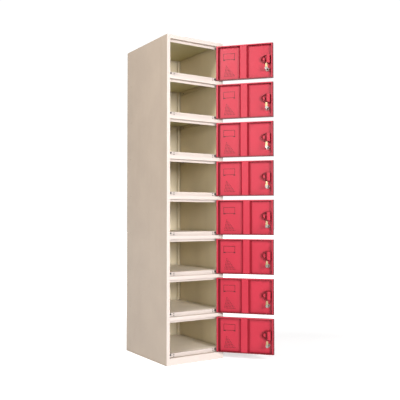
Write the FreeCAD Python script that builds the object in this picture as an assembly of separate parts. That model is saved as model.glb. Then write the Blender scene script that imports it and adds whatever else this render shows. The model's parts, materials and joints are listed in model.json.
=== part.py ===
import FreeCAD, Part
import math
import os

os.makedirs("parts", exist_ok=True)

Vec = FreeCAD.Vector

# ---- driving dimensions, millimetres ------------------------------------
WIDTH = 380.0
DEPTH = 500.0
HEIGHT = 1850.0
TIERS = 8
SHEET = 1.0                # sheet steel everywhere

# front frame
STILE = 20.0               # front face of each side panel
TOP_RAIL = 22.0            # front face heights of the rails
CROSS_RAIL = 20.0
PLINTH = 40.0
STOP_ROOM = 3.0            # closed door's rear to the rail lips and shelf flanges
STOP_DROP = 14.0           # lip hanging below each rail
JAMB_LIP = 14.0
REAR_POST = 20.0           # boxed fold at the back of each side panel
REAR_POST_DEPTH = 9.0
PAN_DEPTH = 22.0           # folded edges of the shelves and the floor
PAN_HEM = 6.0              # inward fold under the pans' side edges
SEAT_PLAY = 0.5            # room around the jambs in the pan notches
LID_FLANGE = 15.0
BASE_FLANGE = 30.0
BASE_STRIP = 44.0

# doors
DOOR_DEPTH = 19.0
DOOR_LIP = 10.0            # along the hinge and free edges
END_LIP = 6.0              # along the top and bottom edges
SIDE_GAP = 2.5
END_GAP = 1.5
OPEN_ANGLE = 131.4         # doors stand open this far

# hinges
PIVOT_INSET = 8.0          # from the door's hinge edge
PIVOT_DEPTH = 4.0          # behind the door's outer face
PIN_RADIUS = 2.0
RUNNING_FIT = 0.1
PIN_REACH = 6.0
PIN_HEAD_RADIUS = 2.8
PIN_HEAD = 1.2
WASHER_RADIUS = 4.5
WASHER_PLAY = 0.2

# rivets and buffers on the shelf flanges
RIVET_X = 131.5
RIVET_LEVELS = (6.0, 16.0)
RIVET_RADIUS = 1.6
RIVET_HEAD_RADIUS = 2.8
RIVET_HEAD = 0.8
SIDE_RIVET_REAR = 51.0     # from the back of the cabinet
SIDE_RIVET_LEVEL = 8.0
BUFFER_LOCK_X = 153.0
BUFFER_HINGE_X = 146.0     # inboard of the sweep of the door's rear edge
BUFFER_LEVEL = 14.5
BUFFER_RADIUS = 4.5
BUFFER_STEM_RADIUS = 2.0
BUFFER_BULB_RADIUS = 3.0
BUFFER_GAP = 0.2           # buffer face to the closed door

# pressings in the door skin: h from the hinge edge, v from the bottom edge
PRESS_SHARE = 0.6              # of the sheet's thickness
CARD_H = (38.0, 107.0)
CARD_DROP = (79.0, 42.0)       # its lower and upper line, below the door's top
CARD_LINE = 2.6
CARD_SLOTS = ((37.0, 50.0), (98.0, 109.0))
CARD_SLOT_HEIGHT = 4.0
VENT_ROWS = 8
VENT_BASE = (44.0, 27.0)
VENT_STEP = (8.86, 8.57)
VENT_SHIFT = 1.86          # each row starts this much further in
VENT_RADIUS = 2.6

# stiffeners: offset from the door's middle towards the free edge, top door first
STIFFENER_SHIFT = (-6.0, -2.5, -4.0, 3.0, 10.5, 9.5, 1.5, -4.0)
STIFFENER_FACE = 37.0
STIFFENER_BASE = 58.0
STIFFENER_FOOT = 5.0

# coin case and coin tray: u from the free edge, levels from the lock's axis
CASE_U = (37.0, 18.0)
CASE_TOP = 80.5
CASE_BOTTOM = (36.5, 31.5)     # hinge side, free side
CASE_DEPTH = 30.0
CASE_CHAMFER = 3.0
CASE_WALL = 1.5
CHANNEL_U = 48.0               # channel runs from here to the case
CHANNEL_SPAN = (38.0, 81.0)
TRAY_U = 51.0
TRAY_LEVEL = 58.0
TRAY_RADIUS = 19.5
TRAY_WALL = 1.5
TRAY_PAD_RADIUS = 9.5
TRAY_DEPTH = 16.0
TRAY_FLOOR = 3.0
PAD_DROP = 2.0
COIN_SLOT = 25.0
COIN_SLOT_DEPTH = (5.0, 8.0)

# cylinder lock
LOCK_U = 35.0
LOCK_DROP = 50.0               # below the door's middle
BARREL_RADIUS = 8.0
BARREL_GAP = 0.6               # barrel's rear end to the cam
FLANGE_RADIUS = 11.0
FLANGE_PROUD = 2.0
NUT_FLATS = 20.0
NUT_THICK = 4.0
PLUG_RADIUS = 6.0
PLUG_RECESS = 0.2
CAM_DEPTH = 38.0               # front face of the cam
CAM_THICK = 2.0
CAM_RADIUS = 8.0
CAM_TIP_RADIUS = 5.5
CAM_REACH = 30.5
CAM_PLAY = 1.0                 # cam to the jamb lip it catches
SCREW_WASHER_RADIUS = 8.5
SCREW_WASHER = 1.2
SCREW_RADIUS = 7.0
SCREW_HEAD = 2.0
SCREW_SLOT = 1.6

# key
KEY_THICK = 1.8
KEY_BLADE = 6.4
KEY_PLAY = 0.2
KEY_END = 18.0                 # depth of the blade's tip
KEY_SHOULDER = 3.0             # bow ahead of the flange
KEY_BOW_RADIUS = 11.0
KEY_HOLE_RADIUS = 3.0

# wall fixings in the back panel
FIXING_X = 130.0
FIXING_Z = 1760.0
FIXING_RADIUS = 4.5

# ---- derived positions ---------------------------------------------------
X_OUT = WIDTH / 2
X_IN = X_OUT - SHEET
X_OPEN = X_OUT - STILE
X_LIP = X_OPEN + SHEET - JAMB_LIP
Y_FRONT = -DEPTH / 2
Y_BACK = DEPTH / 2
Y_STOP = Y_FRONT + DOOR_DEPTH + STOP_ROOM
Y_WALL = Y_BACK - SHEET
Y_POST = Y_WALL - REAR_POST_DEPTH
X_POST = X_OUT - REAR_POST
Y_SIDE_RIVET = Y_BACK - SIDE_RIVET_REAR
Z_LID = HEIGHT - SHEET
STOP_DEPTH = DOOR_DEPTH + STOP_ROOM
HINGE_JAMB = STOP_DEPTH + 2 * SHEET
LOCK_JAMB = CAM_DEPTH - CAM_PLAY - SHEET
OPENING = (HEIGHT - TOP_RAIL - PLINTH - CROSS_RAIL * (TIERS - 1)) / TIERS
PITCH = OPENING + CROSS_RAIL
DOOR_WIDTH = 2 * (X_OPEN - SIDE_GAP)
DOOR_HEIGHT = OPENING - 2 * END_GAP
X_HINGE_EDGE = X_OPEN - SIDE_GAP
PIVOT_X = X_HINGE_EDGE - PIVOT_INSET
PIVOT_Y = Y_FRONT + PIVOT_DEPTH
RAIL_LIP = PAN_DEPTH - 2 * SHEET
CARD_V = tuple(DOOR_HEIGHT - drop for drop in CARD_DROP)
LOCK_H = DOOR_WIDTH - LOCK_U
LOCK_V = DOOR_HEIGHT / 2 - LOCK_DROP
CASE_H = tuple(DOOR_WIDTH - u for u in CASE_U)
CHANNEL_H = DOOR_WIDTH - CHANNEL_U
TRAY_CENTRE = (DOOR_WIDTH - TRAY_U, LOCK_V + TRAY_LEVEL)
BARREL_END = CAM_DEPTH - BARREL_GAP


def opening_bottom(k):
    return HEIGHT - TOP_RAIL - OPENING - PITCH * (k - 1)


def box(x0, x1, y0, y1, z0, z1):
    return Part.makeBox(x1 - x0, y1 - y0, z1 - z0, Vec(x0, y0, z0))


def rod(radius, x, z, y0, y1):
    return Part.makeCylinder(radius, y1 - y0, Vec(x, y0, z), Vec(0, 1, 0))


def post(radius, x, y, z0, z1):
    return Part.makeCylinder(radius, z1 - z0, Vec(x, y, z0))


def join(pieces):
    return pieces[0].multiFuse(pieces[1:]).removeSplitter()


def mirror_x(shape):
    return shape.mirror(Vec(0, 0, 0), Vec(1, 0, 0))


def save(name, solids):
    shape = solids[0] if len(solids) == 1 else Part.makeCompound(solids)
    shape.exportStep("parts/" + name + ".step")


# ---- cabinet -------------------------------------------------------------
def side_shank(k):
    z = opening_bottom(k) + SIDE_RIVET_LEVEL
    start = Vec(X_IN - SHEET, Y_SIDE_RIVET, z)
    return Part.makeCylinder(RIVET_RADIUS, 2 * SHEET, start, Vec(1, 0, 0))


def side_punch(shape):
    for k in range(1, TIERS + 1):
        shape = shape.cut(side_shank(k))
    return shape


def side_rivet(k):
    """Rivet that holds a pan's hinge-side edge to the side panel, flush outside."""
    z = opening_bottom(k) + SIDE_RIVET_LEVEL
    start = Vec(X_IN - SHEET - RIVET_HEAD, Y_SIDE_RIVET, z)
    head = Part.makeCylinder(RIVET_HEAD_RADIUS, RIVET_HEAD, start, Vec(1, 0, 0))
    return join([head, side_shank(k)])


def side_panel(jamb):
    y_lip = Y_FRONT + jamb
    panel = join([
        box(X_IN, X_OUT, Y_FRONT, Y_WALL, 0, Z_LID),
        box(X_OPEN, X_OUT, Y_FRONT, Y_FRONT + SHEET, 0, Z_LID),
        box(X_OPEN, X_OPEN + SHEET, Y_FRONT, y_lip + SHEET, 0, Z_LID),
        box(X_LIP, X_OPEN + SHEET, y_lip, y_lip + SHEET, PLINTH, Z_LID),
        box(X_POST, X_OUT, Y_WALL - SHEET, Y_WALL, 0, Z_LID),
        box(X_POST, X_POST + SHEET, Y_POST, Y_WALL, 0, Z_LID),
        box(X_POST, X_IN, Y_POST, Y_POST + SHEET, 0, Z_LID),
    ])
    return side_punch(panel)


def back_panel():
    panel = box(-X_OUT, X_OUT, Y_WALL, Y_BACK, 0, Z_LID)
    for x in (-FIXING_X, FIXING_X):
        panel = panel.cut(rod(FIXING_RADIUS, x, FIXING_Z, Y_BACK - 3 * SHEET, Y_BACK + SHEET))
    return panel


def pin_hole(shape, z0, z1):
    return shape.cut(post(PIN_RADIUS, PIVOT_X, PIVOT_Y, z0, z1))


def lower_fold(z, half):
    """Return and hanging stop lip at the underside z of a rail."""
    return [
        box(-half, half, Y_FRONT, Y_STOP + SHEET, z, z + SHEET),
        box(-half, half, Y_STOP, Y_STOP + SHEET, z - STOP_DROP, z + SHEET),
    ]


def upper_fold(z, half):
    """Return at the top z of a rail and the lip the pan is riveted to."""
    y_lip = Y_STOP + SHEET
    return [
        box(-half, half, Y_FRONT, y_lip + SHEET, z - SHEET, z),
        box(-half, half, y_lip, y_lip + SHEET, z - SHEET, z + RAIL_LIP),
    ]


def fastener_points(z):
    """Rivet centres and buffer centres on the flange that stands on z."""
    rivets = [(x, z + level) for x in (-RIVET_X, RIVET_X) for level in RIVET_LEVELS]
    buffers = [(-BUFFER_LOCK_X, z + BUFFER_LEVEL), (BUFFER_HINGE_X, z + BUFFER_LEVEL)]
    return rivets, buffers


def punch(shape, z):
    rivets, buffers = fastener_points(z)
    for x, height in rivets:
        shape = shape.cut(rod(RIVET_RADIUS, x, height, Y_STOP - SHEET, Y_STOP + 3 * SHEET))
    for x, height in buffers:
        shape = shape.cut(rod(BUFFER_STEM_RADIUS, x, height, Y_STOP - SHEET, Y_STOP + 3 * SHEET))
    return shape


def top_panel():
    z = HEIGHT - TOP_RAIL
    pieces = [
        box(-X_OUT, X_OUT, Y_FRONT, Y_BACK, Z_LID, HEIGHT),
        box(-X_OPEN, X_OPEN, Y_FRONT, Y_FRONT + SHEET, z, HEIGHT),
        box(X_IN - SHEET, X_IN, Y_FRONT + 3 * STILE, Y_POST, Z_LID - LID_FLANGE, HEIGHT),
        box(-X_IN, SHEET - X_IN, Y_FRONT + 3 * STILE, Y_POST, Z_LID - LID_FLANGE, HEIGHT),
    ]
    return pin_hole(join(pieces + lower_fold(z, X_OPEN)), z - SHEET, z + 2 * SHEET)


def base_frame():
    y_side = Y_FRONT + LOCK_JAMB + 2 * SHEET
    pieces = [
        box(-X_OPEN, X_OPEN, Y_FRONT, Y_FRONT + SHEET, 0, PLINTH),
        box(-X_OPEN, X_OPEN, Y_FRONT, Y_FRONT + BASE_STRIP, 0, SHEET),
        box(X_IN - SHEET, X_IN, y_side, Y_POST, 0, PLINTH),
        box(-X_IN, SHEET - X_IN, y_side, Y_POST, 0, PLINTH),
        box(X_IN - BASE_FLANGE, X_IN, y_side, Y_POST, 0, SHEET),
        box(-X_IN, BASE_FLANGE - X_IN, y_side, Y_POST, 0, SHEET),
        box(-X_POST, X_POST, Y_WALL - SHEET, Y_WALL, 0, PLINTH),
        box(-X_POST, X_POST, Y_WALL - BASE_FLANGE, Y_WALL, 0, SHEET),
    ]
    frame = join(pieces + upper_fold(PLINTH, X_OPEN))
    return punch(pin_hole(frame, PLINTH - 2 * SHEET, PLINTH + SHEET), PLINTH)


def pan(z):
    """Shelf or floor whose folded front edge stands on the rail top z."""
    top = z + PAN_DEPTH
    half = X_OPEN - SEAT_PLAY
    y_rear = Y_POST - SEAT_PLAY
    x_rear = X_POST - SEAT_PLAY
    sheet = join([
        box(-X_IN, X_IN, Y_STOP, y_rear, top - SHEET, top),
        box(-x_rear, x_rear, Y_STOP, Y_WALL, top - SHEET, top),
        box(-X_IN, SHEET - X_IN, Y_STOP, y_rear, z, top),
        box(X_IN - SHEET, X_IN, Y_STOP, y_rear, z, top),
        box(-X_IN, PAN_HEM - X_IN, Y_STOP, y_rear, z, z + SHEET),
        box(X_IN - PAN_HEM, X_IN, Y_STOP, y_rear, z, z + SHEET),
        box(-x_rear, x_rear, Y_WALL - SHEET, Y_WALL, z, top),
    ])
    for shank in (side_shank(1), mirror_x(side_shank(1))):
        sheet = sheet.cut(shank.translated(Vec(0, 0, z - opening_bottom(1))))
    y_hinge = Y_FRONT + HINGE_JAMB + SHEET + SEAT_PLAY
    y_lock = Y_FRONT + LOCK_JAMB + SHEET + SEAT_PLAY
    x_notch = X_LIP - SEAT_PLAY
    sheet = sheet.cut(box(x_notch, X_OUT, Y_FRONT, y_hinge, z - SHEET, top + SHEET))
    sheet = sheet.cut(box(-X_OUT, -x_notch, Y_FRONT, y_lock, z - SHEET, top + SHEET))
    flange = box(-half, half, Y_STOP, Y_STOP + SHEET, z, top)
    return punch(join([sheet, flange]), z)


def cross_rail(z):
    """Rail whose front face ends at the top z."""
    bottom = z - CROSS_RAIL
    front = box(-X_OPEN, X_OPEN, Y_FRONT, Y_FRONT + SHEET, bottom, z)
    rail = join([front] + upper_fold(z, X_OPEN) + lower_fold(bottom, X_OPEN))
    return punch(pin_hole(rail, bottom - SHEET, z + SHEET), z)


def rivet(x, z):
    head = rod(RIVET_HEAD_RADIUS, x, z, Y_STOP - RIVET_HEAD, Y_STOP)
    shank = rod(RIVET_RADIUS, x, z, Y_STOP, Y_STOP + 2 * SHEET)
    tail = rod(RIVET_HEAD_RADIUS, x, z, Y_STOP + 2 * SHEET, Y_STOP + 2 * SHEET + RIVET_HEAD)
    return join([head, shank, tail])


def door_buffer(x, z):
    y_face = Y_FRONT + DOOR_DEPTH + BUFFER_GAP
    pad = rod(BUFFER_RADIUS, x, z, y_face, Y_STOP)
    stem = rod(BUFFER_STEM_RADIUS, x, z, Y_STOP, Y_STOP + 2 * SHEET)
    bulb = rod(BUFFER_BULB_RADIUS, x, z, Y_STOP + 2 * SHEET, Y_STOP + 3 * SHEET)
    return join([pad, stem, bulb])


def pivot_pin(z, up):
    """Pin set in the sheet whose door-side face is at z."""
    reach = END_GAP + SHEET + PIN_REACH
    shaft = post(PIN_RADIUS, PIVOT_X, PIVOT_Y, z - SHEET, z + reach)
    head = post(PIN_HEAD_RADIUS, PIVOT_X, PIVOT_Y, z - SHEET - PIN_HEAD, z - SHEET)
    pin = join([shaft, head])
    return pin if up else pin.mirror(Vec(0, 0, z), Vec(0, 0, 1))


def pivot_washer(z):
    ring = post(WASHER_RADIUS, PIVOT_X, PIVOT_Y, z, z + END_GAP - WASHER_PLAY)
    return ring.cut(post(PIN_RADIUS, PIVOT_X, PIVOT_Y, z - SHEET, z + END_GAP))


# ---- doors, drawn closed and then swung open ------------------------------
def at(h, v, depth, k):
    """Point from hinge-edge distance h, height v and depth behind the face."""
    return Vec(X_HINGE_EDGE - h, Y_FRONT + depth, opening_bottom(k) + END_GAP + v)


def block(h, v, depth, k):
    low = at(h[1], v[0], depth[0], k)
    high = at(h[0], v[1], depth[1], k)
    return box(low.x, high.x, low.y, high.y, low.z, high.z)


def stub(radius, h, v, depth, k):
    start = at(h, v, depth[0], k)
    return rod(radius, start.x, start.z, start.y, start.y + depth[1] - depth[0])


def prism(points, v, k):
    """Outline of (h, depth) points run from height v[0] to v[1]."""
    outline = [at(h, v[0], depth, k) for h, depth in points]
    face = Part.Face(Part.makePolygon(outline + outline[:1]))
    return face.extrude(Vec(0, 0, v[1] - v[0]))


def swing(shape):
    turned = shape.copy()
    turned.rotate(Vec(PIVOT_X, PIVOT_Y, 0), Vec(0, 0, 1), OPEN_ANGLE)
    return turned


def pressings(k):
    """Card frame, card slots and ventilation field, cut into the inner face."""
    inside = (SHEET * (1 - PRESS_SHARE), SHEET + 1)
    h0, h1 = CARD_H
    v0, v1 = CARD_V
    frame = block((h0, h1), (v0, v1), inside, k).cut(
        block((h0 + CARD_LINE, h1 - CARD_LINE), (v0 + CARD_LINE, v1 - CARD_LINE), (-1, SHEET + 2), k))
    tools = [frame]
    for low, high in CARD_SLOTS:
        tools.append(block((low, high), (v0 - CARD_SLOT_HEIGHT, v0 + CARD_LINE / 2), inside, k))
    for row in range(VENT_ROWS):
        for i in range(VENT_ROWS - row):
            h = VENT_BASE[0] + VENT_SHIFT * row + VENT_STEP[0] * i
            v = VENT_BASE[1] + VENT_STEP[1] * row
            tools.append(stub(VENT_RADIUS, h, v, inside, k))
    return Part.makeCompound(tools)


def door_panel(k):
    full = block((0, DOOR_WIDTH), (0, DOOR_HEIGHT), (0, DOOR_DEPTH), k)
    hollow = block((SHEET, DOOR_WIDTH - SHEET), (SHEET, DOOR_HEIGHT - SHEET),
                   (SHEET, DOOR_DEPTH - SHEET), k)
    window = block((DOOR_LIP, DOOR_WIDTH - DOOR_LIP), (END_LIP, DOOR_HEIGHT - END_LIP),
                   (SHEET, DOOR_DEPTH + 1), k)
    panel = full.cut(hollow).cut(window).cut(pressings(k))
    z = opening_bottom(k)
    panel = panel.cut(post(PIN_RADIUS + RUNNING_FIT, PIVOT_X, PIVOT_Y, z, z + OPENING))
    return panel.cut(stub(BARREL_RADIUS, LOCK_H, LOCK_V, (-1, SHEET + 1), k))


def door_stiffener(k):
    centre = DOOR_WIDTH / 2 + STIFFENER_SHIFT[k - 1]
    face = STIFFENER_FACE / 2
    base = STIFFENER_BASE / 2
    foot = base + STIFFENER_FOOT
    top = DOOR_DEPTH - SHEET
    run = math.hypot(base - face, top - SHEET)
    side = SHEET * run / (top - SHEET)
    lift = SHEET * (base - face) / (top - SHEET)
    outer = [(-foot, SHEET), (-foot, 2 * SHEET), (-base, 2 * SHEET), (-face, top),
             (face, top), (base, 2 * SHEET), (foot, 2 * SHEET), (foot, SHEET)]
    inner = [(base - side + lift, SHEET), (face - side + lift, top - SHEET),
             (side - lift - face, top - SHEET), (side - lift - base, SHEET)]
    points = [(centre + h, depth) for h, depth in outer + inner]
    return prism(points, (SHEET, DOOR_HEIGHT - SHEET), k)


def coin_case(k):
    h0, h1 = CASE_H
    low = LOCK_V + CASE_BOTTOM[1] - 1
    top = LOCK_V + CASE_TOP
    c = CASE_CHAMFER
    t = CASE_WALL
    outer = prism([(h0, SHEET), (h0, CASE_DEPTH - c), (h0 + c, CASE_DEPTH), (h1, CASE_DEPTH),
                   (h1, SHEET)], (low, top), k)
    inner = block((h0 + t, h1 - t), (low - 1, top - t), (SHEET + t, CASE_DEPTH - c - t), k)
    case = outer.cut(inner)
    corners = [at(h0 - 1, low - 1, 0, k), at(h1 + 1, low - 1, 0, k),
               at(h1 + 1, low + 1, 0, k), at(h0 - 1, LOCK_V + CASE_BOTTOM[0], 0, k)]
    wedge = Part.Face(Part.makePolygon(corners + corners[:1])).extrude(Vec(0, CASE_DEPTH + 1, 0))
    middle = TRAY_CENTRE[1]
    slot = block((h0 - 1, h0 + t + 1), (middle - COIN_SLOT / 2, middle + COIN_SLOT / 2),
                 COIN_SLOT_DEPTH, k)
    return case.cut(wedge).cut(slot)


def coin_tray(k):
    h, v = TRAY_CENTRE
    wall = TRAY_WALL
    rim = (SHEET, TRAY_DEPTH)
    floor = (TRAY_FLOOR, TRAY_DEPTH + 1)
    half = block((h - TRAY_RADIUS, h), (v - TRAY_RADIUS, v + TRAY_RADIUS), (0, TRAY_DEPTH + 1), k)
    throat = (h - 1, CHANNEL_H)
    dish = stub(TRAY_RADIUS, h, v, rim, k).common(half)
    dish = dish.fuse(block((h, CHANNEL_H), (v - TRAY_RADIUS, v + TRAY_RADIUS), rim, k))
    hollow = stub(TRAY_RADIUS - wall, h, v, floor, k).common(half)
    hollow = hollow.fuse(block(throat, (v - TRAY_RADIUS + wall, v + TRAY_RADIUS - wall), floor, k))
    pad_depth = (SHEET, TRAY_DEPTH - PAD_DROP)
    pad = stub(TRAY_PAD_RADIUS, h, v, pad_depth, k).common(half)
    pad = pad.fuse(block(throat, (v - TRAY_PAD_RADIUS, v + TRAY_PAD_RADIUS), pad_depth, k))
    low, high = (LOCK_V + level for level in CHANNEL_SPAN)
    channel = block((CHANNEL_H, CASE_H[0]), (low - wall, high + wall), rim, k)
    channel = channel.cut(block((CHANNEL_H - 1, CASE_H[0] + 1), (low, high), floor, k))
    return join([dish.cut(hollow), pad, channel])


def barrel(k):
    body = stub(BARREL_RADIUS, LOCK_H, LOCK_V, (0, BARREL_END), k)
    flange = stub(FLANGE_RADIUS, LOCK_H, LOCK_V, (-FLANGE_PROUD, 0), k)
    bore = stub(PLUG_RADIUS + RUNNING_FIT, LOCK_H, LOCK_V, (-FLANGE_PROUD - 1, BARREL_END + 1), k)
    return join([body, flange]).cut(bore)


def ring_nut(k):
    radius = NUT_FLATS / math.sqrt(3)
    centre = at(LOCK_H, LOCK_V, SHEET, k)
    corners = []
    for i in range(7):
        a = math.radians(60 * i)
        corners.append(centre + Vec(radius * math.cos(a), 0, radius * math.sin(a)))
    nut = Part.Face(Part.makePolygon(corners)).extrude(Vec(0, NUT_THICK, 0))
    return nut.cut(stub(BARREL_RADIUS, LOCK_H, LOCK_V, (0, SHEET + NUT_THICK + 1), k))


def lock_plug(k):
    plug = stub(PLUG_RADIUS, LOCK_H, LOCK_V, (PLUG_RECESS - FLANGE_PROUD, CAM_DEPTH), k)
    wide = KEY_THICK / 2 + KEY_PLAY
    tall = KEY_BLADE / 2 + KEY_PLAY
    keyway = block((LOCK_H - wide, LOCK_H + wide), (LOCK_V - tall, LOCK_V + tall),
                   (-FLANGE_PROUD - 1, KEY_END + 1), k)
    return plug.cut(keyway)


def cam_plate(k):
    """Flat cam pointing up from the lock's axis."""
    depth = (CAM_DEPTH, CAM_DEPTH + CAM_THICK)
    span = CAM_REACH - CAM_TIP_RADIUS
    lean = math.asin((CAM_RADIUS - CAM_TIP_RADIUS) / span)
    ch, sh = math.cos(lean), math.sin(lean)
    centre = at(LOCK_H, LOCK_V, CAM_DEPTH, k)
    corners = []
    for side, radius, lift in ((-1, CAM_RADIUS, 0), (-1, CAM_TIP_RADIUS, span),
                               (1, CAM_TIP_RADIUS, span), (1, CAM_RADIUS, 0)):
        corners.append(centre + Vec(side * radius * ch, 0, lift + radius * sh))
    blade = Part.Face(Part.makePolygon(corners + corners[:1])).extrude(Vec(0, CAM_THICK, 0))
    hub = stub(CAM_RADIUS, LOCK_H, LOCK_V, depth, k)
    tip = stub(CAM_TIP_RADIUS, LOCK_H, LOCK_V + span, depth, k)
    return join([blade, hub, tip])


def cam_screw(k):
    washer_end = CAM_DEPTH + CAM_THICK + SCREW_WASHER
    washer = stub(SCREW_WASHER_RADIUS, LOCK_H, LOCK_V, (CAM_DEPTH + CAM_THICK, washer_end), k)
    head = stub(SCREW_RADIUS, LOCK_H, LOCK_V, (washer_end, washer_end + SCREW_HEAD), k)
    slot = block((LOCK_H - SCREW_SLOT / 2, LOCK_H + SCREW_SLOT / 2), (LOCK_V - 10, LOCK_V + 10),
                 (washer_end + SCREW_HEAD / 2, washer_end + SCREW_HEAD + 1), k)
    slot.rotate(at(LOCK_H, LOCK_V, 0, k), Vec(0, 1, 0), 45)
    return join([washer, head]).cut(slot)


def key(k):
    half = KEY_THICK / 2
    shoulder = -FLANGE_PROUD - KEY_SHOULDER
    bow_centre = shoulder - KEY_BOW_RADIUS + 1
    blade = block((LOCK_H - half, LOCK_H + half), (LOCK_V - KEY_BLADE / 2, LOCK_V + KEY_BLADE / 2),
                  (shoulder - 2, KEY_END), k)
    start = at(LOCK_H + half, LOCK_V, bow_centre, k)
    bow = Part.makeCylinder(KEY_BOW_RADIUS, KEY_THICK, start, Vec(1, 0, 0))
    eye = at(LOCK_H + half + 1, LOCK_V, bow_centre - KEY_BOW_RADIUS / 2, k)
    hole = Part.makeCylinder(KEY_HOLE_RADIUS, KEY_THICK + 2, eye, Vec(1, 0, 0))
    return join([blade, bow]).cut(hole)


# ---- write every node ------------------------------------------------------
save("left_side_panel", [mirror_x(side_panel(LOCK_JAMB))])
save("right_side_panel", [side_panel(HINGE_JAMB)])
save("back_panel", [back_panel()])
save("top_panel", [top_panel()])
save("base_frame", [base_frame()])
save("floor_panel", [pan(PLINTH)])
for k in range(1, TIERS):
    save("shelf_%d" % k, [pan(opening_bottom(k))])
save("cross_rails", [cross_rail(opening_bottom(k)) for k in range(1, TIERS)])

rivets = []
buffers = []
pins = []
washers = []
for k in range(1, TIERS + 1):
    z = opening_bottom(k)
    rivet_points, buffer_points = fastener_points(z)
    rivets += [rivet(x, height) for x, height in rivet_points]
    buffers += [door_buffer(x, height) for x, height in buffer_points]
    pins += [pivot_pin(z, True), pivot_pin(z + OPENING, False)]
    washers.append(pivot_washer(z))
    rivets += [side_rivet(k), mirror_x(side_rivet(k))]
save("shelf_rivets", rivets)
save("door_buffers", buffers)
save("pivot_pins", pins)
save("pivot_washers", washers)

for k in range(1, TIERS + 1):
    save("door_panel_%d" % k, [swing(door_panel(k))])
    save("door_stiffener_%d" % k, [swing(door_stiffener(k))])
    lock_case = coin_case(k).fuse(coin_tray(k)).removeSplitter()
    save("coin_lock_%d" % k, [swing(lock_case), swing(barrel(k)), swing(ring_nut(k))])
    save("lock_cam_%d" % k, [swing(lock_plug(k)), swing(cam_plate(k)), swing(cam_screw(k))])
    save("key_%d" % k, [swing(key(k))])
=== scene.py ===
import json
import math
import bpy
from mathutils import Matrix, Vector


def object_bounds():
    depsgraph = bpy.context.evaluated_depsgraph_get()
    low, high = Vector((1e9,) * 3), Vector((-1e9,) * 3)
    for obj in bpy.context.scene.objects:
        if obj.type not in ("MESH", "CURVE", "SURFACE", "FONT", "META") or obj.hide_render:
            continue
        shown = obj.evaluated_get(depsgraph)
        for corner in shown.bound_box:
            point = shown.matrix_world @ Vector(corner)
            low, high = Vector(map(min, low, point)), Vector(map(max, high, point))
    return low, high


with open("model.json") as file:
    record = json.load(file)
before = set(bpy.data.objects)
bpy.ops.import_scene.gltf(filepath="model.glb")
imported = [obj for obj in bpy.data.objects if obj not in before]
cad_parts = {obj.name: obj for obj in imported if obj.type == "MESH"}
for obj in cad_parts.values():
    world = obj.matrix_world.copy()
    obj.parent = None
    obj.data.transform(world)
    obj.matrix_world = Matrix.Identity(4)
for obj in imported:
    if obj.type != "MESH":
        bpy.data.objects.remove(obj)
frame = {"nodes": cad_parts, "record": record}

cad_low, cad_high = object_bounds()
nodes = frame["nodes"]
record = frame["record"]
joints = {j["name"]: j for j in record["behaviour"]["joints"]}
TIERS = sum(1 for n in nodes if n.startswith("door_panel_"))
lowest_lock = joints["lock_turn_%d" % TIERS]
lock_axis = Vector(lowest_lock["axis"])
lock_point = Vector(lowest_lock["pos_m"])
PITCH = joints["lock_turn_1"]["pos_m"][2] - joints["lock_turn_2"]["pos_m"][2]
to_hinge = Vector((0, 0, 1)).cross(lock_axis)
BELOW_LOCK = 0.06          # heights on a door repeat from this far below its lock

# sizes read from the nodes at rest
door_points = [v.co - lock_point for v in nodes["door_panel_%d" % TIERS].data.vertices]
across_values = [p.dot(to_hinge) for p in door_points]
up_values = [p.z for p in door_points]
LOCK_ACROSS = max(across_values)                        # the lock's axis from the hinge edge
LOCK_UP = -min(up_values)                               # and from the door's lower edge
DOOR_ACROSS = max(across_values) - min(across_values)
DOOR_UP = max(up_values) - min(up_values)
side_panel = nodes["left_side_panel"].data.vertices
back_panel = nodes["back_panel"].data.vertices
FRONT_Y = min(v.co.y for v in side_panel) + 0.03        # front frame and shelf edges lie ahead of this
INSIDE_X = -min(v.co.x for v in side_panel) - 0.0005    # within the side panels' sheet
INSIDE_Y = max(v.co.y for v in back_panel) - 0.0007     # within the back panel's sheet
INSIDE_Z = cad_high[2] - 0.0005                         # within the top panel's sheet

# paint colours, linear
CREAM = (0.335, 0.272, 0.218)
# darker cream for streaks and for painted shade in corners
CREAM_DEEP = (0.17, 0.125, 0.07)
CREAM_FRONT_LIT = (0.455, 0.40, 0.375)
RED = (0.308, 0.011, 0.027)
# darker red for streaks and for painted shade in corners, beside the folds and on the stiffener slope
RED_DEEP = (0.115, 0.0, 0.003)
# darker red painted as shade on the doors' edge walls and rims
RED_RIM_SHADE = (0.06, 0.0, 0.001)
RED_ROUGH = 0.44
RED_GLOSS = 0.33

# painted light and shade on the cream paint inside the compartments: one factor for all of it, then one
# more by facing
INSIDE_LIGHT = (1.94, 2.04, 1.70)
BACK_LIGHT = (1.12, 1.16, 1.30)
SHELF_LIGHT = (1.17, 1.21, 1.54)
CEILING_SHADE = (0.80, 0.85, 0.66)

SLOPE_NORMAL = (0.143, -0.990, 0.0)    # the stiffeners' slope towards the free edge, doors at rest
LOCK_METAL_RADIUS = 0.0128             # chrome up to here around the lock's axis, paint beyond
CAM_DEPTHS = (0.0379, 0.04005)         # the yellow cam lies between these depths behind the door's face

# studio
CAMERA_PLACE = (-1.8941, -3.2418, 0.817)
CAMERA_TURN = (91.68, 0.0, -32.73)     # degrees
CAMERA_LENS = 55.74
BACKDROP_WAY = (0.54, 0.84, 0.0)       # from the camera to behind the cabinet
ROOM = 0.34
BACKDROP = 1.05
FLOOR_GLOW = 0.42
FLOOR_GLOW_FAR = 0.9
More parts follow.
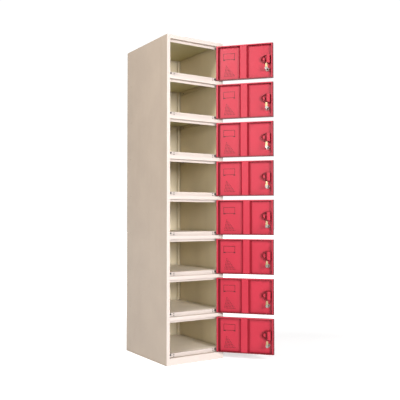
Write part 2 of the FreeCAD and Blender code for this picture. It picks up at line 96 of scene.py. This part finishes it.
# name, place, target, width, height, watts, colour
LAMPS = (
    ("left_key", (-2.9, -1.05, 2.9), (0.2, -0.35, 1.1), 0.8, 0.8, 108.0, (1.0, 0.98, 0.95)),
    ("door_box", (-2.0, -1.67, 1.40), (0.25, -0.38, 1.1), 0.7, 0.7, 13.0, (1.0, 1.0, 1.0)),
    ("front_box", (0.0, -5.0, 1.7), (0.0, -0.2, 0.9), 1.6, 1.4, 290.0, (1.0, 1.0, 1.0)),
    ("fill_box", (-2.2, -4.4, 1.5), (0.0, -0.2, 0.9), 1.4, 1.4, 30.0, (1.0, 0.99, 0.93)),
)


# ---- small node-tree helper -------------------------------------------------
class Tree:
    def __init__(self, name):
        self.material = bpy.data.materials.new(name)
        self.material.use_nodes = True
        self.nodes = self.material.node_tree.nodes
        self.links = self.material.node_tree.links
        self.shader = self.nodes["Principled BSDF"]
        place = self.nodes.new("ShaderNodeTexCoord")
        self.coords = place.outputs["Object"]
        self.normal = place.outputs["Normal"]

    def put(self, value, socket):
        if isinstance(value, bpy.types.NodeSocket):
            self.links.new(value, socket)
        else:
            socket.default_value = value

    def noise(self, scale, detail=2.0, rough=0.5, stretch=None):
        source = self.coords
        if stretch:
            node = self.nodes.new("ShaderNodeVectorMath")
            node.operation = "MULTIPLY"
            node.inputs[1].default_value = stretch
            self.links.new(source, node.inputs[0])
            source = node.outputs[0]
        node = self.nodes.new("ShaderNodeTexNoise")
        node.inputs["Scale"].default_value = scale
        node.inputs["Detail"].default_value = detail
        node.inputs["Roughness"].default_value = rough
        self.links.new(source, node.inputs["Vector"])
        return node.outputs["Fac"]

    def ramp(self, value, low, high, out_low=0.0, out_high=1.0):
        node = self.nodes.new("ShaderNodeMapRange")
        self.put(value, node.inputs["Value"])
        node.inputs["From Min"].default_value = low
        node.inputs["From Max"].default_value = high
        node.inputs["To Min"].default_value = out_low
        node.inputs["To Max"].default_value = out_high
        return node.outputs["Result"]

    def math(self, op, a, b=0.0, c=0.0):
        node = self.nodes.new("ShaderNodeMath")
        node.operation = op
        for value, socket in zip((a, b, c), node.inputs):
            self.put(value, socket)
        return node.outputs[0]

    def mix(self, factor, a, b, blend="MIX"):
        node = self.nodes.new("ShaderNodeMix")
        node.data_type = "RGBA"
        node.blend_type = blend
        self.put(factor, node.inputs[0])
        for value, socket in ((a, node.inputs[6]), (b, node.inputs[7])):
            if isinstance(value, tuple):
                value = (*value, 1.0)
            self.put(value, socket)
        return node.outputs[2]

    def occlusion(self, distance, inside=False):
        node = self.nodes.new("ShaderNodeAmbientOcclusion")
        node.samples = 8
        node.inside = inside
        node.inputs["Distance"].default_value = distance
        return node.outputs["AO"]

    def bump(self, height, strength, distance):
        node = self.nodes.new("ShaderNodeBump")
        node.inputs["Strength"].default_value = strength
        node.inputs["Distance"].default_value = distance
        self.links.new(height, node.inputs["Height"])
        self.links.new(node.outputs["Normal"], self.shader.inputs["Normal"])

    def axis_value(self, axis, origin):
        """Distance of a point from origin along axis, in the row frame."""
        node = self.nodes.new("ShaderNodeVectorMath")
        node.operation = "SUBTRACT"
        self.links.new(self.coords, node.inputs[0])
        node.inputs[1].default_value = origin
        dot = self.nodes.new("ShaderNodeVectorMath")
        dot.operation = "DOT_PRODUCT"
        self.links.new(node.outputs[0], dot.inputs[0])
        dot.inputs[1].default_value = axis
        return dot.outputs["Value"]

    def facing(self, axis, least):
        """1 where the surface faces along axis, in the row frame, by at least this cosine."""
        dot = self.nodes.new("ShaderNodeVectorMath")
        dot.operation = "DOT_PRODUCT"
        self.links.new(self.normal, dot.inputs[0])
        dot.inputs[1].default_value = axis
        return self.math("GREATER_THAN", dot.outputs["Value"], least)

    def within(self, value, low, high):
        return self.math("MULTIPLY", self.math("GREATER_THAN", value, low),
                         self.math("LESS_THAN", value, high))


def scaled(color, factor):
    return tuple(min(1.0, c * factor) for c in color)


# ---- finishes ---------------------------------------------------------------
def door_place(t):
    """Metres across the door from its hinge edge, up from its lower edge, and behind its face."""
    side = t.math("SUBTRACT", LOCK_ACROSS, t.axis_value(to_hinge, lock_point))
    up = t.math("WRAP", t.axis_value((0, 0, 1), lock_point), PITCH - BELOW_LOCK, -BELOW_LOCK)
    depth = t.math("MULTIPLY", t.axis_value(lock_axis, lock_point), -1.0)
    return side, t.math("ADD", up, LOCK_UP), depth


def pressed_recess_shade(low, high, factor):
    """Painted shade: darker paint on the floors of pressings between two depths, where shade falls in
    the recesses.
    """
    def shade(t, base):
        depth = door_place(t)[2]
        mask = t.math("MULTIPLY", t.facing(-lock_axis, 0.5), t.within(depth, low, high))
        return t.mix(mask, base, (factor, factor * 0.8, factor * 0.8), "MULTIPLY")
    return shade


def fold_shade(t, base):
    """Painted shade on the skin beside the hinge fold, the top fold and the free fold, where the folds'
    shadows fall.
    """
    side, up, depth = door_place(t)
    skin = t.math("MULTIPLY", t.facing(-lock_axis, 0.5), t.within(depth, 0.0, 0.0015))
    hinge_fold = t.ramp(side, 0.018, 0.022, 0.90, 0.0)
    top_fold = t.ramp(up, DOOR_UP - 0.012, DOOR_UP - 0.008, 0.0, 0.75)
    free_fold = t.ramp(side, DOOR_ACROSS - 0.0145, DOOR_ACROSS - 0.0135, 0.0, 0.6)
    most = t.math("MAXIMUM", t.math("MAXIMUM", hinge_fold, top_fold), free_fold)
    return t.mix(t.math("MULTIPLY", most, skin), base, RED_DEEP)


def edge_walls_shade(t, base):
    """Painted shade: darker red on the free edge and lower edge walls, and in a band beside them on both
    faces.
    """
    walls = t.math("MAXIMUM", t.facing(-to_hinge, 0.95), t.facing((0, 0, -1), 0.95))
    side, up, _ = door_place(t)
    rims = t.math("MAXIMUM", t.ramp(side, DOOR_ACROSS - 0.0055, DOOR_ACROSS - 0.0035, 0.0, 0.8),
                  t.ramp(up, 0.0050, 0.0062, 0.85, 0.0))
    return t.mix(t.math("MAXIMUM", t.math("MULTIPLY", walls, 0.9), rims), base, RED_RIM_SHADE)


def free_slope_shade(t, base):
    """Painted shade on the stiffener's slope that faces the free edge."""
    turned = t.facing(SLOPE_NORMAL, 0.97)
    return t.mix(t.math("MULTIPLY", turned, 0.7), base, RED_DEEP)


def inside_light_and_shade(t, base):
    """Painted light and shade inside the compartments: the cream made yellower and lighter, then lighter
    or darker by the way each face looks.
    """
    half_x = t.math("ABSOLUTE", t.axis_value((1, 0, 0), (0, 0, 0)))
    within = t.math("MULTIPLY", t.math("LESS_THAN", half_x, INSIDE_X),
                    t.within(t.axis_value((0, 1, 0), (0, 0, 0)), FRONT_Y, INSIDE_Y))
    height = t.axis_value((0, 0, 1), (0, 0, 0))
    within = t.math("MULTIPLY", within, t.math("LESS_THAN", height, INSIDE_Z))
    base = t.mix(within, base, INSIDE_LIGHT, "MULTIPLY")
    for way, tone in (((0, -1, 0), BACK_LIGHT), ((0, 0, 1), SHELF_LIGHT), ((0, 0, -1), CEILING_SHADE)):
        turned = t.math("MULTIPLY", t.facing(way, 0.8), within)
        base = t.mix(turned, base, tone, "MULTIPLY")
    return base


def powder_coat(name, color, deep, rough, corner_shade, reach, gloss, shades=(), cabinet=False):
    """Orange-peel powder coat: soft blotches, streaks, painted shade in corners, worn edges."""
    t = Tree(name)
    blotch = t.noise(5.0, 3.0, 0.55)
    streak = t.noise(9.0, 2.0, 0.5, (1.0, 1.0, 0.12))
    base = t.mix(t.ramp(blotch, 0.35, 0.65), scaled(color, 0.965), scaled(color, 1.03))
    base = t.mix(t.ramp(streak, 0.55, 0.75, 0.0, 0.10), base, deep)
    fleck = t.noise(900.0, 1.0)
    base = t.mix(t.ramp(fleck, 0.60, 0.72, 0.0, 0.06), base, scaled(color, 0.8))
    if cabinet:
        base = inside_light_and_shade(t, base)
    # painted shade: darker towards the deep colour where ambient occlusion finds corners
    corner = t.ramp(t.occlusion(reach), 0.35, 0.95, corner_shade, 0.0)
    base = t.mix(corner, base, deep)
    edge = t.ramp(t.occlusion(0.0008, inside=True), 0.30, 0.75, 1.0, 0.0)
    chips = t.ramp(t.noise(160.0, 3.0, 0.65), 0.50, 0.62, 0.0, 0.35)
    base = t.mix(t.math("MULTIPLY", edge, chips), base, scaled(color, 1.18))
    # painted light: faces turned to the front at the cabinet's front are made lighter and whiter
    if cabinet:
        ahead = t.math("LESS_THAN", t.axis_value((0, 1, 0), (0, 0, 0)), FRONT_Y)
        facing = t.facing((0, -1, 0), 0.8)
        base = t.mix(t.math("MULTIPLY", t.math("MULTIPLY", ahead, facing), 0.8), base, CREAM_FRONT_LIT)
    for shade in shades:
        base = shade(t, base)
    t.put(base, t.shader.inputs["Base Color"])
    matt = t.ramp(t.noise(38.0, 3.0), 0.3, 0.7, rough - 0.02, rough + 0.04)
    t.put(matt, t.shader.inputs["Roughness"])
    t.shader.inputs["Specular IOR Level"].default_value = gloss
    t.bump(t.noise(420.0, 2.0, 0.5), 0.12, 0.0004)
    return t.material


def metal(name, color, rough, scratch=0.08, tint=None):
    t = Tree(name)
    base = t.mix(t.ramp(t.noise(60.0, 3.0), 0.35, 0.7), scaled(color, 0.86), color)
    if tint:
        base = t.mix(t.ramp(t.noise(110.0, 2.0), 0.45, 0.7, 0.0, 0.55), base, tint)
    # painted shade: darker in crevices by ambient occlusion
    corner_shade = t.ramp(t.occlusion(0.006), 0.3, 0.9, 0.5, 0.0)
    base = t.mix(corner_shade, base, scaled(color, 0.25))
    t.put(base, t.shader.inputs["Base Color"])
    t.shader.inputs["Metallic"].default_value = 1.0
    t.put(t.ramp(t.noise(240.0, 3.0), 0.3, 0.7, rough, rough + 0.12), t.shader.inputs["Roughness"])
    t.bump(t.noise(700.0, 2.0, 0.6, (1.0, 1.0, 0.15)), scratch, 0.0002)
    return t.material


def rubber(name):
    t = Tree(name)
    t.put(t.mix(t.ramp(t.noise(300.0), 0.4, 0.7), (0.012, 0.012, 0.012), (0.03, 0.03, 0.03)),
          t.shader.inputs["Base Color"])
    t.put(t.ramp(t.noise(200.0), 0.3, 0.7, 0.6, 0.8), t.shader.inputs["Roughness"])
    t.bump(t.noise(1200.0, 2.0), 0.15, 0.0003)
    return t.material


def nylon(name):
    t = Tree(name)
    t.put(t.mix(t.ramp(t.noise(250.0), 0.4, 0.7), (0.62, 0.60, 0.54), (0.72, 0.70, 0.64)),
          t.shader.inputs["Base Color"])
    t.put(t.ramp(t.noise(150.0), 0.3, 0.7, 0.4, 0.55), t.shader.inputs["Roughness"])
    t.bump(t.noise(800.0), 0.08, 0.0003)
    return t.material


cream = powder_coat("cabinet_powder_coat", CREAM, CREAM_DEEP, 0.42, corner_shade=0.35, reach=0.02,
                    gloss=0.5, cabinet=True)
red = powder_coat("door_powder_coat", RED, RED_DEEP, RED_ROUGH, corner_shade=0.8, reach=0.010, gloss=RED_GLOSS,
                  shades=[pressed_recess_shade(0.0002, 0.00095, 0.18), fold_shade, edge_walls_shade])
lock_red = powder_coat("lock_powder_coat", RED, RED_DEEP, RED_ROUGH, corner_shade=0.5, reach=0.006,
                       gloss=RED_GLOSS, shades=[pressed_recess_shade(0.0152, 0.0168, 0.35)])
stiffener_red = powder_coat("stiffener_powder_coat", RED, RED_DEEP, RED_ROUGH, corner_shade=0.8, reach=0.010,
                            gloss=RED_GLOSS, shades=[free_slope_shade])
chrome = metal("chrome_plate", (0.36, 0.34, 0.32), 0.28)
nickel = metal("nickel_plate", (0.42, 0.40, 0.36), 0.28)
dull_zinc = metal("dull_zinc", (0.018, 0.014, 0.011), 0.6, 0.12)
black_rubber = rubber("black_rubber")
white_nylon = nylon("natural_nylon")


# ---- two-finish nodes -------------------------------------------------------
def blend_materials(name, first, second, mask_maker):
    """One material that is second where the mask is 1 and first elsewhere."""
    t = Tree(name)
    t.nodes.remove(t.shader)
    out = next(n for n in t.nodes if n.type == "OUTPUT_MATERIAL")
    shaders = []
    for source in (first, second):
        copies = {}
        for node in source.node_tree.nodes:
            if node.type == "OUTPUT_MATERIAL":
                continue
            fresh = t.nodes.new(node.bl_idname)
            copies[node] = fresh
            for attribute in ("operation", "blend_type", "data_type", "samples", "inside"):
                if hasattr(node, attribute):
                    setattr(fresh, attribute, getattr(node, attribute))
            for i, socket in enumerate(node.inputs):
                if hasattr(socket, "default_value") and not socket.is_linked:
                    fresh.inputs[i].default_value = socket.default_value
        for link in source.node_tree.links:
            if link.to_node.type == "OUTPUT_MATERIAL":
                shaders.append(copies[link.from_node].outputs["BSDF"])
                continue
            outs = list(link.from_node.outputs)
            ins = list(link.to_node.inputs)
            t.links.new(copies[link.from_node].outputs[outs.index(link.from_socket)],
                        copies[link.to_node].inputs[ins.index(link.to_socket)])
    mixer = t.nodes.new("ShaderNodeMixShader")
    t.links.new(mask_maker(t), mixer.inputs[0])
    t.links.new(shaders[0], mixer.inputs[1])
    t.links.new(shaders[1], mixer.inputs[2])
    t.links.new(mixer.outputs[0], out.inputs["Surface"])
    return t.material


def barrel_mask(t):
    side, up, _ = door_place(t)
    side = t.math("SUBTRACT", side, LOCK_ACROSS)
    up = t.math("SUBTRACT", up, LOCK_UP)
    radius = t.math("SQRT", t.math("ADD", t.math("MULTIPLY", side, side),
                                   t.math("MULTIPLY", up, up)))
    return t.math("LESS_THAN", radius, LOCK_METAL_RADIUS)


def cam_mask(t):
    depth = t.math("MULTIPLY", t.axis_value(lock_axis, lock_point), -1.0)
    return t.within(depth, *CAM_DEPTHS)


yellow_zinc = metal("yellow_zinc", (0.45, 0.34, 0.18), 0.32, 0.10, (0.40, 0.36, 0.25))
lock_finish = blend_materials("lock_paint_and_chrome", lock_red, chrome, barrel_mask)
cam_finish = blend_materials("chrome_and_yellow_zinc", chrome, yellow_zinc, cam_mask)

FINISHES = {
    "door_panel": red, "door_stiffener": stiffener_red, "coin_lock": lock_finish, "lock_cam": cam_finish,
    "key": nickel, "shelf_rivets": dull_zinc, "pivot_pins": dull_zinc,
    "pivot_washers": white_nylon, "door_buffers": black_rubber,
}

for name, obj in nodes.items():
    finish = cream
    for start, material in FINISHES.items():
        if name.startswith(start):
            finish = material
    for slot in obj.material_slots:
        slot.material = finish
    if not name.startswith(("pivot", "shelf_rivets")):
        bevel = obj.modifiers.new("bend", "BEVEL")
        bevel.width = 0.00035
        bevel.segments = 2
        bevel.limit_method = "ANGLE"
        bevel.angle_limit = math.radians(40)


# ---- stage ------------------------------------------------------------------
def floor_plane():
    """Pale studio sweep: lit from within where it runs up to the white background."""
    mesh = bpy.data.meshes.new("floor")
    half = 30.0
    mesh.from_pydata([(-half, -half, 0), (half, -half, 0), (half, half, 0), (-half, half, 0)],
                     [], [(0, 1, 2, 3)])
    floor = bpy.data.objects.new("floor", mesh)
    bpy.context.scene.collection.objects.link(floor)
    t = Tree("pale_floor")
    t.put(t.mix(t.ramp(t.noise(2.0, 3.0), 0.3, 0.7), (0.74, 0.74, 0.74), (0.78, 0.78, 0.78)),
          t.shader.inputs["Base Color"])
    t.put(t.ramp(t.noise(12.0), 0.3, 0.7, 0.55, 0.65), t.shader.inputs["Roughness"])
    back = t.axis_value(BACKDROP_WAY, (0.0, 0.0, 0.0))
    near = t.ramp(back, -2.4, -0.7, 0.0, FLOOR_GLOW)
    far = t.ramp(back, 0.6, 3.0, 0.0, FLOOR_GLOW_FAR)
    t.put((1.0, 1.0, 1.0, 1.0), t.shader.inputs["Emission Color"])
    t.put(t.math("ADD", near, far), t.shader.inputs["Emission Strength"])
    mesh.materials.append(t.material)


def softbox(name, place, target, width, height, power, color):
    light = bpy.data.lights.new(name, "AREA")
    light.shape = "RECTANGLE"
    light.size = width
    light.size_y = height
    light.energy = power
    light.color = color
    obj = bpy.data.objects.new(name, light)
    obj.location = place
    obj.rotation_euler = (Vector(target) - Vector(place)).to_track_quat("-Z", "Y").to_euler()
    bpy.context.scene.collection.objects.link(obj)


def studio_world():
    """Soft grey room with a white backdrop behind the cabinet."""
    world = bpy.data.worlds.new("studio")
    bpy.context.scene.world = world
    world.use_nodes = True
    tree = world.node_tree
    direction = tree.nodes.new("ShaderNodeTexCoord").outputs["Generated"]
    dot = tree.nodes.new("ShaderNodeVectorMath")
    dot.operation = "DOT_PRODUCT"
    tree.links.new(direction, dot.inputs[0])
    dot.inputs[1].default_value = BACKDROP_WAY
    ramp = tree.nodes.new("ShaderNodeMapRange")
    ramp.inputs["From Min"].default_value = 0.72
    ramp.inputs["From Max"].default_value = 0.88
    ramp.inputs["To Min"].default_value = ROOM
    ramp.inputs["To Max"].default_value = BACKDROP
    tree.links.new(dot.outputs["Value"], ramp.inputs["Value"])
    sky = tree.nodes["Background"]
    sky.inputs["Color"].default_value = (1.0, 1.0, 1.0, 1.0)
    tree.links.new(ramp.outputs["Result"], sky.inputs["Strength"])


floor_plane()
studio_world()
for lamp in LAMPS:
    softbox(*lamp)

camera = bpy.data.cameras.new("camera")
camera.lens = CAMERA_LENS
camera.sensor_width = 36.0
view = bpy.data.objects.new("camera", camera)
view.location = CAMERA_PLACE
view.rotation_euler = [math.radians(angle) for angle in CAMERA_TURN]
bpy.context.scene.collection.objects.link(view)
bpy.context.scene.camera = view
bpy.context.scene.view_settings.view_transform = "Standard"
